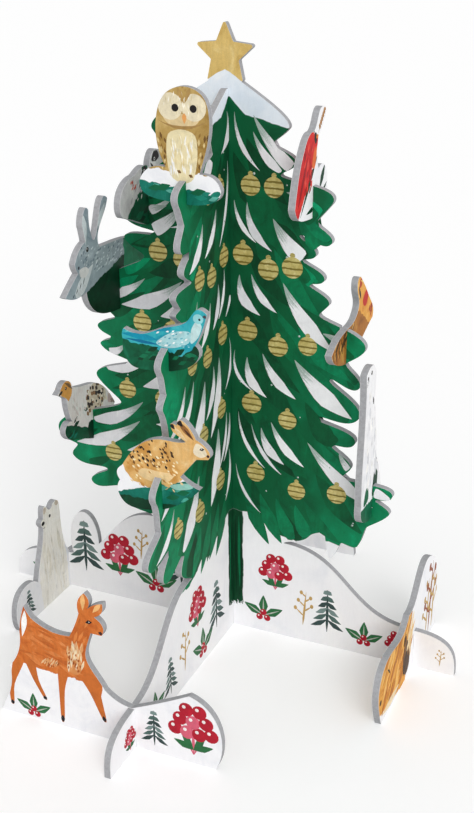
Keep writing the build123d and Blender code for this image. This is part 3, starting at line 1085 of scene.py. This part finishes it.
def dabs(drawing, seed, box, count, size, colours, slope, fat=0.42):
    """Short strokes scattered over a box, all at about one slope."""
    dice = Random(seed)
    (left, low), (right, high) = box
    for index in range(count):
        start = Vector((dice.uniform(left, right), dice.uniform(low, high)))
        turn = radians(slope + dice.uniform(-14, 14))
        length = size * dice.uniform(0.7, 1.3)
        end = start + Vector((cos(turn), sin(turn))) * length
        drawing.tick(start, end, length * fat, colours[index % len(colours)])


print("brushes ready")

# %% Owl
OWL_CREAM = paint(234, 222, 190)
OWL_DOWN = [WHITE, *paints((250, 244, 222), (222, 202, 150))]
OWL_WINGS = [BROWN, *paints((146, 112, 54), (214, 190, 132))]
OWL_BROW = paint(176, 142, 84)
OWL_CLAW = paint(120, 88, 48)
OWL_BELLY = [(-14, 50), (-15, 30), (-12, 12), (0, 6), (11, 10), (15, 30), (14, 50), (0, 54)]
owl = Drawing("owl")
owl.patch(OWL_BELLY, paint(236, 222, 178))
dabs(owl, 21, ((-12, 20), (12, 50)), 40, 9, OWL_DOWN, -89, 0.16)
dabs(owl, 22, ((-27, 22), (-16, 52)), 22, 5, OWL_WINGS, -80)
dabs(owl, 23, ((16, 22), (27, 52)), 22, 5, OWL_WINGS, -98)
owl.patch([(-20, 66), (20, 66), (14, 57), (0, 53), (-13, 57)], paint(222, 198, 150))
owl.stroke((-22, 60), (24, 61), 3, paint(164, 130, 76), -6, 0.5)
for u in (-10, 12):
    owl.dot(u, 72, 11.5, OWL_CREAM, 1.0, 22)
dabs(owl, 24, ((-20, 64), (22, 80)), 30, 5, paints((216, 200, 160), (248, 242, 226)), 90, 0.16)
owl.stroke((-3, 88), (3, 75), 4, OWL_BROW, 0, 0.3)
owl.stroke((9, 88), (3.5, 75), 4, OWL_BROW, 0, 0.3)
dabs(owl, 25, ((-20, 84), (18, 90)), 10, 3, paints((168, 134, 76), (214, 190, 132)), 80)
owl.stroke((3, 67), (3, 58), 4.6, paint(228, 160, 92), 0, 0.35)
for u in (-5.5, 11.5):
    owl.dot(u, 71, 3.3, BLACK, 1.0, 14)
owl.tick((-5, 18), (-1, 16), 3, OWL_CLAW)
owl.tick((6, 15), (10, 13), 3, OWL_CLAW)
dabs(owl, 26, ((-34, -6), (26, 4)), 10, 12, [TEAL, paint(92, 172, 156), LEAF], 8)
owl.press("owl_print", gouache)

# %% Blue bird
BLUE_WING = [(-12, 10), (4, 22), (18, 27), (32, 28), (30, 14), (10, 6), (-4, 6)]
BLUE_SCALES = [WHITE, *paints((110, 182, 196), (150, 206, 212), (60, 152, 176))]
bird = Drawing("blue_bird")
dabs(bird, 31, ((-34, -14), (34, 0)), 16, 13, [LEAF_DARK, LEAF, paint(14, 112, 76)], 22)
bird.stroke((-52, 15), (-8, 13), 9, paint(10, 142, 170), 1.0)
bird.stroke((-48, 10), (-6, 8), 4, paint(6, 108, 146))
bird.patch([(30, 12), (40, 22), (45, 36), (38, 42), (31, 30)], paint(196, 226, 226))
bird.patch(BLUE_WING, paint(172, 216, 220))
dabs(bird, 32, ((-10, 8), (28, 25)), 40, 4, BLUE_SCALES, 25)
bird.stroke((30, 36), (-12, 22), 7, paint(16, 140, 168), -1.5)
bird.dot(40, 43, 6, paint(150, 214, 218), 0.9)
bird.dot(41.5, 42.5, 1.3, BLACK, 1.0, 10)
bird.stroke((45, 46), (54, 47), 4, paint(66, 70, 76), 0, 0.3)
bird.press("blue_bird_print", gouache)

# %% Brown hare
HARE_SPOTS = [*paints((66, 46, 32), (120, 82, 40)), BLACK]
hare = Drawing("brown_hare")
dabs(hare, 41, ((-10, -12), (36, 6)), 12, 12, [LEAF, paint(70, 160, 140), TEAL], 24)
hare.patch([(10, 6), (26, 11), (42, 13), (34, 6), (18, 2)], paint(150, 204, 190))
hare.patch([(-24, 12), (-8, 6), (10, 8), (20, 20), (2, 18), (-16, 20)], paint(236, 204, 150))
dabs(hare, 42, ((-30, 24), (14, 52)), 50, 4.0, HARE_SPOTS, -58, 0.62)
dabs(hare, 43, ((-28, 8), (24, 36)), 40, 3.2, paints((250, 234, 192), (240, 212, 152)), -40, 0.6)
dabs(hare, 44, ((-34, 2), (24, 30)), 24, 5, paints((196, 138, 66), (236, 206, 152)), -46)
hare.patch([(36, 44), (40, 56), (48, 52), (52, 44), (44, 40)], paint(240, 226, 196))
hare.stroke((38, 57), (21, 75), 6.4, paint(150, 100, 52), 0, 0.5)
hare.stroke((37, 58), (28, 67), 2.6, paint(70, 48, 34))
hare.stroke((27, 69), (21, 75), 6, BLACK, 0, 0.6)
hare.stroke((31, 55), (16, 69), 4.4, paint(236, 206, 156))
hare.stroke((19, 65), (14, 70), 4.6, BLACK, 0, 0.6)
hare.stroke((43.5, 48.5), (48.5, 49.8), 3.2, BLACK, 0.4, 0.5, 12)
hare.dot(45.8, 50, 0.6, WHITE, 1.0, 8)
hare.dot(52, 43.5, 1.5, paint(78, 50, 42), 1.0, 10)
hare.press("brown_hare_print", gouache)

# %% Pair of small birds
CORAL = paints((208, 84, 70), (228, 138, 118))
LEFT_DOWN = [WHITE, *paints((190, 186, 192), (214, 212, 216))]
RIGHT_DOWN = [WHITE, *paints((192, 190, 194), (216, 214, 216))]
pair = Drawing("bird_pair")
dabs(pair, 51, ((-42, -8), (36, 6)), 14, 12, [LEAF_DARK, paint(14, 116, 80), LEAF], 10)
dabs(pair, 52, ((-36, 16), (-16, 32)), 22, 5, LEFT_DOWN, 60)
dabs(pair, 53, ((2, 14), (32, 38)), 26, 5, RIGHT_DOWN, 105)
dabs(pair, 54, ((-36, 27), (-27, 34)), 9, 4, CORAL, 40)
dabs(pair, 55, ((18, 16), (28, 24)), 8, 4, CORAL, 110)
pair.patch([(-16, 37), (-10, 45), (-4, 43), (-4, 37), (-10, 35)], BLACK)
pair.stroke((-14, 37), (-19, 27), 3.4, BLACK)
pair.patch([(4, 46), (9, 54), (17, 54), (21, 47), (13, 44)], BLACK)
pair.patch([(6, 45), (12, 45), (14, 40), (8, 39)], WHITE)
pair.stroke((3, 45), (10, 38), 2.8, BLACK)
for u, v in ((-9, 40.5), (11, 47)):
    pair.dot(u, v, 1.5, WHITE, 1.0, 10)
    pair.dot(u, v, 0.9, BLACK, 1.0, 8)
pair.press("bird_pair_print", gouache)

# %% Grey hare
HARE_EAR = paint(222, 232, 236)
HARE_STIPPLE = paints((112, 128, 142), (226, 234, 238), (206, 218, 224))
hare = Drawing("grey_hare")
dabs(hare, 61, ((8, -12), (30, 10)), 12, 8, [LEAF, paint(40, 156, 114)], 24)
hare.stroke((-32, 40), (-15, 58), 6.4, HARE_EAR, -1.0, 0.6)
hare.stroke((-39, 39), (-40, 57), 6.2, HARE_EAR, 0.0, 0.6)
hare.stroke((-32, 26), (-61, 6), 10, paint(226, 232, 236), 0, 0.45)
dabs(hare, 62, ((-32, 20), (2, 35)), 80, 2.4, HARE_STIPPLE, 24)
dabs(hare, 63, ((-46, 26), (-32, 38)), 26, 2.0, paints((108, 124, 138), (222, 230, 234)), 40)
hare.patch([(-48, 27), (-40, 27), (-36, 23), (-42, 20), (-47, 22)], paint(236, 236, 236))
for step in range(4):
    start = -42 - 4 * step, 21 - 2.2 * step
    end = -44.5 - 4 * step, 17 - 1.6 * step
    hare.tick(start, end, 0.9, paint(84, 94, 104))
bead(hare, -37.5, 36, 1.5)
hare.dot(-48, 28, 1.0, paint(60, 62, 70), 1.0, 10)
hare.press("grey_hare_print", gouache)

# %% Partridge
PARTRIDGE_DOWN = [paint(230, 216, 212), WHITE, paint(244, 236, 232)]
PARTRIDGE_BARS = [*paints((62, 50, 42), (150, 112, 76), (246, 236, 216)), BLACK]
bird = Drawing("partridge")
dabs(bird, 71, ((-50, 4), (-14, 22)), 10, 9, [LEAF_DARK, LEAF, TEAL], 24)
bird.patch([(25, 14), (38, 12), (46, 6), (36, 20), (27, 25)], paint(226, 198, 194))
dabs(bird, 72, ((-38, 22), (-16, 46)), 34, 5, PARTRIDGE_DOWN, -74)
bird.patch([(-14, 22), (-10, 38), (4, 46), (20, 38), (24, 22), (8, 14)], paint(226, 212, 188))
dabs(bird, 73, ((-15, 16), (23, 43)), 64, 5.0, PARTRIDGE_BARS, -56, 0.72)
bird.patch([(-56, 44), (-57, 58), (-47, 65), (-38, 60), (-36, 48), (-46, 41)], paint(244, 174, 88))
bird.stroke((-48, 62), (-36, 52), 3.4, paint(136, 100, 70), 1.0)
bird.stroke((-52, 56), (-60, 54), 3.4, paint(66, 58, 54), 0, 0.3)
bead(bird, -46.5, 56.5, 1.5)
dabs(bird, 74, ((30, 8), (50, 16)), 10, 7, paints((176, 152, 142), (110, 96, 88)), -28)
bird.press("partridge_print", gouache)

# %% Red bird
DARK_RED = paint(146, 16, 24)
DARK_SPRIG = [
    ((-36, -8), (10, 46), 6), ((-20, -8), (18, -4), 7),
    ((4, -10), (34, 12), 7), ((14, 8), (28, 30), 9),
]
bird = Drawing("red_bird")
for start, end, width in DARK_SPRIG:
    bird.stroke(start, end, width, LEAF_DARK)
bird.patch([(-8, 34), (0, 30), (5, 42), (5, 52), (-2, 48)], paint(226, 112, 52))
dabs(bird, 81, ((-34, 6), (-6, 50)), 26, 9, [DARK_RED, paint(222, 70, 58), paint(186, 30, 34)], 62)
bird.stroke((-18, 46), (-42, 2), 5.5, DARK_RED)
bird.patch([(-1, 65), (4, 64), (6, 56), (2, 53), (-2, 58)], BLACK)
bird.stroke((3, 60), (11, 60), 4.6, paint(226, 132, 54), 0, 0.3)
bird.dot(-2, 65.5, 1.4, WHITE, 1.0, 10)
bird.dot(-2, 65.5, 0.9, BLACK, 1.0, 8)
bird.stroke((8, 62), (27, 83), 1.6, paint(166, 124, 60))
for step in range(6):
    spot = Vector((11, 66)).lerp(Vector((25, 81)), step / 5)
    for side in (1, -1):
        tip = spot + Vector((2.4 + 1.6 * side, 4.0 - 1.6 * side))
        bird.tick(spot, tip, 3.4, paint(164, 112, 50))
bird.press("red_bird_print", gouache)

# %% Pheasant
PHEASANT_BARS = paints((88, 58, 28), (222, 178, 98), (56, 42, 30), (150, 88, 30))
bird = Drawing("pheasant")
dabs(bird, 91, ((-34, -6), (10, 20)), 36, 20, PHEASANT_BARS, 40, 0.13)
dabs(bird, 92, ((44, 2), (62, 16)), 12, 6, paints((150, 50, 30), (206, 112, 48)), 68)
bird.patch([(34, 26), (45, 34), (50, 26), (44, 18), (37, 20)], paint(196, 46, 36))
bird.patch([(24, 38), (27, 46), (33, 45), (31, 38)], paint(186, 70, 40))
bird.stroke((24, 40), (30, 28), 3.4, BLACK)
bird.stroke((28, 44), (44, 40), 3.0, paint(240, 206, 118), -1)
for step in range(5):
    start = -30 + 6 * step, -10 + 2 * step
    end = -33 + 6 * step, 4 + 2 * step
    bird.tick(start, end, 2.2, paint(74, 50, 28))
bead(bird, 41, 38, 1.5)
bird.press("pheasant_print", gouache)

# %% Ermine
ERMINE_FUR = [*paints((220, 221, 224), (232, 232, 234)), WHITE]
ermine = Drawing("ermine")
ermine.patch([(-4, 2), (-2, 14), (3, 29), (7, 18), (6, 4)], LEAF_DARK)
ermine.patch([(-20, 2), (-16, 13), (-11, 14), (-9, 4)], LEAF)
dabs(ermine, 101, ((-16, 16), (10, 76)), 46, 8, ERMINE_FUR, -86)
ermine.tick((-8, 70), (-6, 64), 2.2, paint(60, 56, 58))
ermine.stroke((4, 60), (8, 40), 3.6, paint(218, 219, 223), -1)
ermine.stroke((-2, 90), (3, 95), 3.4, paint(220, 200, 198))
for step in range(3):
    ermine.tick((-16 - step, 83 - step), (-20 - step, 82.5 - 1.8 * step), 0.6, paint(96, 92, 94))
bead(ermine, -12, 86, 1.3)
ermine.dot(-18, 84.5, 1.2, paint(70, 62, 64), 1.0, 10)
ermine.press("ermine_print", gouache)

# %% Deer on its snow bank
RUST = paint(204, 110, 44)
RUST_DARK = paint(164, 82, 32)
DEER_CREAM = paint(238, 216, 180)
DEER_EAR = paint(238, 184, 118)
DEER_FUR = paints((192, 100, 40), (216, 128, 64), (204, 112, 48))
DEER_BIB = [*paints((220, 152, 94), (230, 186, 136)), DEER_CREAM]
deer = Drawing("deer")
for hip, knee, hoof in (
    ((-52, 29), (-57.5, 14.5), (-57.5, 4)), ((-47.5, 30), (-45, 20), (-40.5, 11)),
    ((-31, 29), (-32.5, 19), (-33, 2)), ((-20, 30), (-16.5, 21), (-12.5, 8)),
):
    thigh = 5.4 if hip[0] > -25 else 2.9
    joints = (hip, thigh), (knee, thigh * 0.47), (hoof, 0.85)
    left = [(u - wide, v) for (u, v), wide in joints]
    right = [(u + wide, v) for (u, v), wide in joints]
    deer.patch(left + right[::-1], RUST, 1)
    deer.stroke(Vector(hoof).lerp(Vector(knee), 0.22), hoof, 2.2, BLACK, 0, 0.6, 10)
dabs(deer, 111, ((-55, 29), (-28, 47)), 40, 8, DEER_FUR, -12, 0.2)
dabs(deer, 112, ((-27, 38), (-19, 56)), 16, 6, paints((192, 100, 40), (216, 128, 62)), 70, 0.2)
deer.patch([(-28, 41), (-22.5, 40), (-21.5, 32), (-24, 27.5), (-29, 28.5)], paint(216, 142, 80))
dabs(deer, 115, ((-28.5, 28), (-22, 40)), 60, 4.5, DEER_BIB, 84, 0.22)
dabs(deer, 116, ((-42, 28), (-33, 31)), 22, 3, paints((222, 158, 100), (232, 190, 142)), 60, 0.24)
dabs(deer, 113, ((-29, 29), (-22, 38)), 20, 1.4, [RUST_DARK], 80)
dabs(deer, 114, ((-40, 28), (-33, 31)), 10, 1.3, [RUST_DARK], 80)
deer.patch([(-19, 31), (-13.2, 28), (-12.9, 24), (-14.2, 19), (-17, 20)], RUST, 1)
deer.stroke((-47.6, 53), (-49.8, 40), 3.0, WHITE, 0.3, 0.4)
deer.stroke((-20, 60), (-19.5, 68), 2.4, DEER_EAR)
deer.stroke((-15.5, 60), (-11.5, 65), 2.2, DEER_EAR)
deer.stroke((-19, 54.4), (-16, 55.2), 1.9, BLACK, 0.3, 0.5, 12)
deer.dot(-17.4, 55.1, 0.25, WHITE, 1.0, 8)
deer.tick((-13.4, 51.4), (-11.4, 50.8), 1.8, paint(60, 32, 32))
holly(deer, -47, 1, 11)
sapling(deer, 10, 3, 18)
berry_bush(deer, 27.5, 4, 22)
deer.press("deer_print", gouache)

# %% Bear
BEAR_FUR = paints((234, 229, 214), (247, 245, 238), (240, 236, 224))
bear = Drawing("bear")
dabs(bear, 121, ((-46, 20), (-10, 74)), 44, 22, BEAR_FUR, -88, 0.12)
for u, v in ((-38, 96), (-17, 95)):
    bear.dot(u, v, 3.2, paint(214, 200, 182), 1.0, 12)
bear.patch([(-46, 84), (-40, 88), (-34, 84), (-37, 78), (-44, 78)], paint(246, 242, 232))
bear.dot(-29.5, 87, 1.6, BLACK, 1.0, 10)
bear.dot(-41, 84.5, 2.6, BLACK, 0.75, 12)
bear.stroke((-43, 80.5), (-37.5, 80.5), 0.9, paint(90, 80, 74), -1.0, 0.5, 10)
sapling(bear, -72, 5, 29)
holly(bear, 25, 4, 18)
bear.press("bear_print", gouache)

# %% Fox and tall twigs
FOX_FUR = paints((200, 130, 46), (236, 186, 104), (182, 112, 40))
fox = Drawing("fox")
dabs(fox, 131, ((-58, 2), (-12, 32)), 60, 14, FOX_FUR, 46, 0.2)
fox.patch([(-20, 20), (-16, 25), (-9, 20), (-8, 6), (-14, 2), (-20, 8)], paint(82, 58, 38))
dabs(fox, 132, ((-20, 4), (-9, 23)), 12, 6, paints((54, 40, 30), (130, 90, 48)), 70)
dabs(fox, 133, ((-16, 12), (-6, 29)), 10, 8, paints((238, 216, 176), (228, 196, 144)), 70)
fox.stroke((-54, 5), (-26, 5), 5, paint(238, 218, 180), -1)
fox.stroke((-47, 27), (-43, 22), 1.2, BLACK, 0.6, 0.5, 10)
fox.dot(-56.5, 14, 1.5, BLACK, 1.0, 10)
for u, size, colour in ((22, 36, STRAW), (27, 44, paint(150, 84, 52)), (33, 34, STRAW)):
    twig(fox, u, 3, size, colour)
fox.press("fox_print", gouache)

# %% [markdown]
# Stage, light and camera
#
# The photograph is a product shot: a white sweep, one broad soft light from the right and plenty
# of fill. The floor adds a little of its own brightness for what the camera sees, so that it reads
# as white paper and still keeps the tree's shadow. The camera stands where the photograph was taken
# from.

# %% Floor
def seen_directly(tree):
    """1 for rays of the camera, of a reflection or of glass, 0 for the rest."""
    path = add(tree, "ShaderNodeLightPath").outputs
    mirrored = plus(tree, path["Is Glossy Ray"], path["Is Transmission Ray"], True)
    return plus(tree, path["Is Camera Ray"], mirrored, True)


FLOOR_HALF = 6.0
FLOOR_WHITE, FLOOR_GLOW = 0.86, 0.2
floor_mesh = bpy.data.meshes.new("floor")
sweep = bmesh.new()
bmesh.ops.create_grid(sweep, x_segments=1, y_segments=1, size=FLOOR_HALF)
sweep.to_mesh(floor_mesh)
sweep.free()
floor = bpy.data.objects.new("floor", floor_mesh)
bpy.context.scene.collection.objects.link(floor)
paper = bpy.data.materials.new("floor_paper")
paper.use_nodes = True
tree = paper.node_tree
shader = tree.nodes["Principled BSDF"]
shader.inputs["Base Color"].default_value = (FLOOR_WHITE, FLOOR_WHITE, FLOOR_WHITE, 1)
shader.inputs["Roughness"].default_value = 0.9
shader.inputs["Specular IOR Level"].default_value = 0.0
shader.inputs["Emission Color"].default_value = (1, 1, 1, 1)
glow = times(tree, seen_directly(tree), FLOOR_GLOW)
tree.links.new(glow, shader.inputs["Emission Strength"])
floor_mesh.materials.append(paper)
print("floor is", 2 * FLOOR_HALF, "m across")

# %% Lights
ROOM_LIGHT = 0.66
LAMP_ANGLE = radians(35)
LAMPS = [("key", 1.3, (0.7, -0.9, 0.75)), ("fill", 0.2, (0.9, -0.2, 0.5))]
world = bpy.data.worlds.new("studio")
bpy.context.scene.world = world
world.use_nodes = True
world.node_tree.nodes["Background"].inputs["Color"].default_value = (1, 1, 1, 1)
strength = ramp(world.node_tree, seen_directly(world.node_tree), 0.0, 1.0, ROOM_LIGHT, 1.0, False)
world.node_tree.links.new(strength, world.node_tree.nodes["Background"].inputs["Strength"])
for name, power, place_xyz in LAMPS:
    lamp = bpy.data.lights.new(name, "SUN")
    lamp.energy = power
    lamp.angle = LAMP_ANGLE
    light = bpy.data.objects.new(name, lamp)
    light.location = place_xyz
    light.rotation_euler = light.location.to_track_quat("Z", "Y").to_euler()
    bpy.context.scene.collection.objects.link(light)
print("lights: a wide soft key from the right, a weaker fill beside it, and a white room")

# %% Camera
AZIMUTH, ELEVATION, ROLL = radians(24.2), radians(23.5), radians(-0.6)
DISTANCE, AIM = 0.5672, Vector((0, 0, 0.1135))
FRAME_HEIGHT, FOCAL_PIXELS, SHIFT_PIXELS = 813, 1263.1, 7.1
lens = bpy.data.cameras.new("camera")
lens.lens = FOCAL_PIXELS / FRAME_HEIGHT * lens.sensor_width
lens.shift_x = SHIFT_PIXELS / FRAME_HEIGHT
lens.clip_start = 0.01
camera = bpy.data.objects.new("camera", lens)
back = Vector((sin(AZIMUTH) * cos(ELEVATION), -cos(AZIMUTH) * cos(ELEVATION), sin(ELEVATION)))
camera.location = AIM + back * DISTANCE
turn = back.to_track_quat("Z", "Y") @ Matrix.Rotation(ROLL, 4, "Z").to_quaternion()
camera.rotation_euler = turn.to_euler()
bpy.context.scene.collection.objects.link(camera)
bpy.context.scene.camera = camera
bpy.context.scene.view_settings.view_transform = "Standard"
print("camera at", [round(c, 3) for c in camera.location])
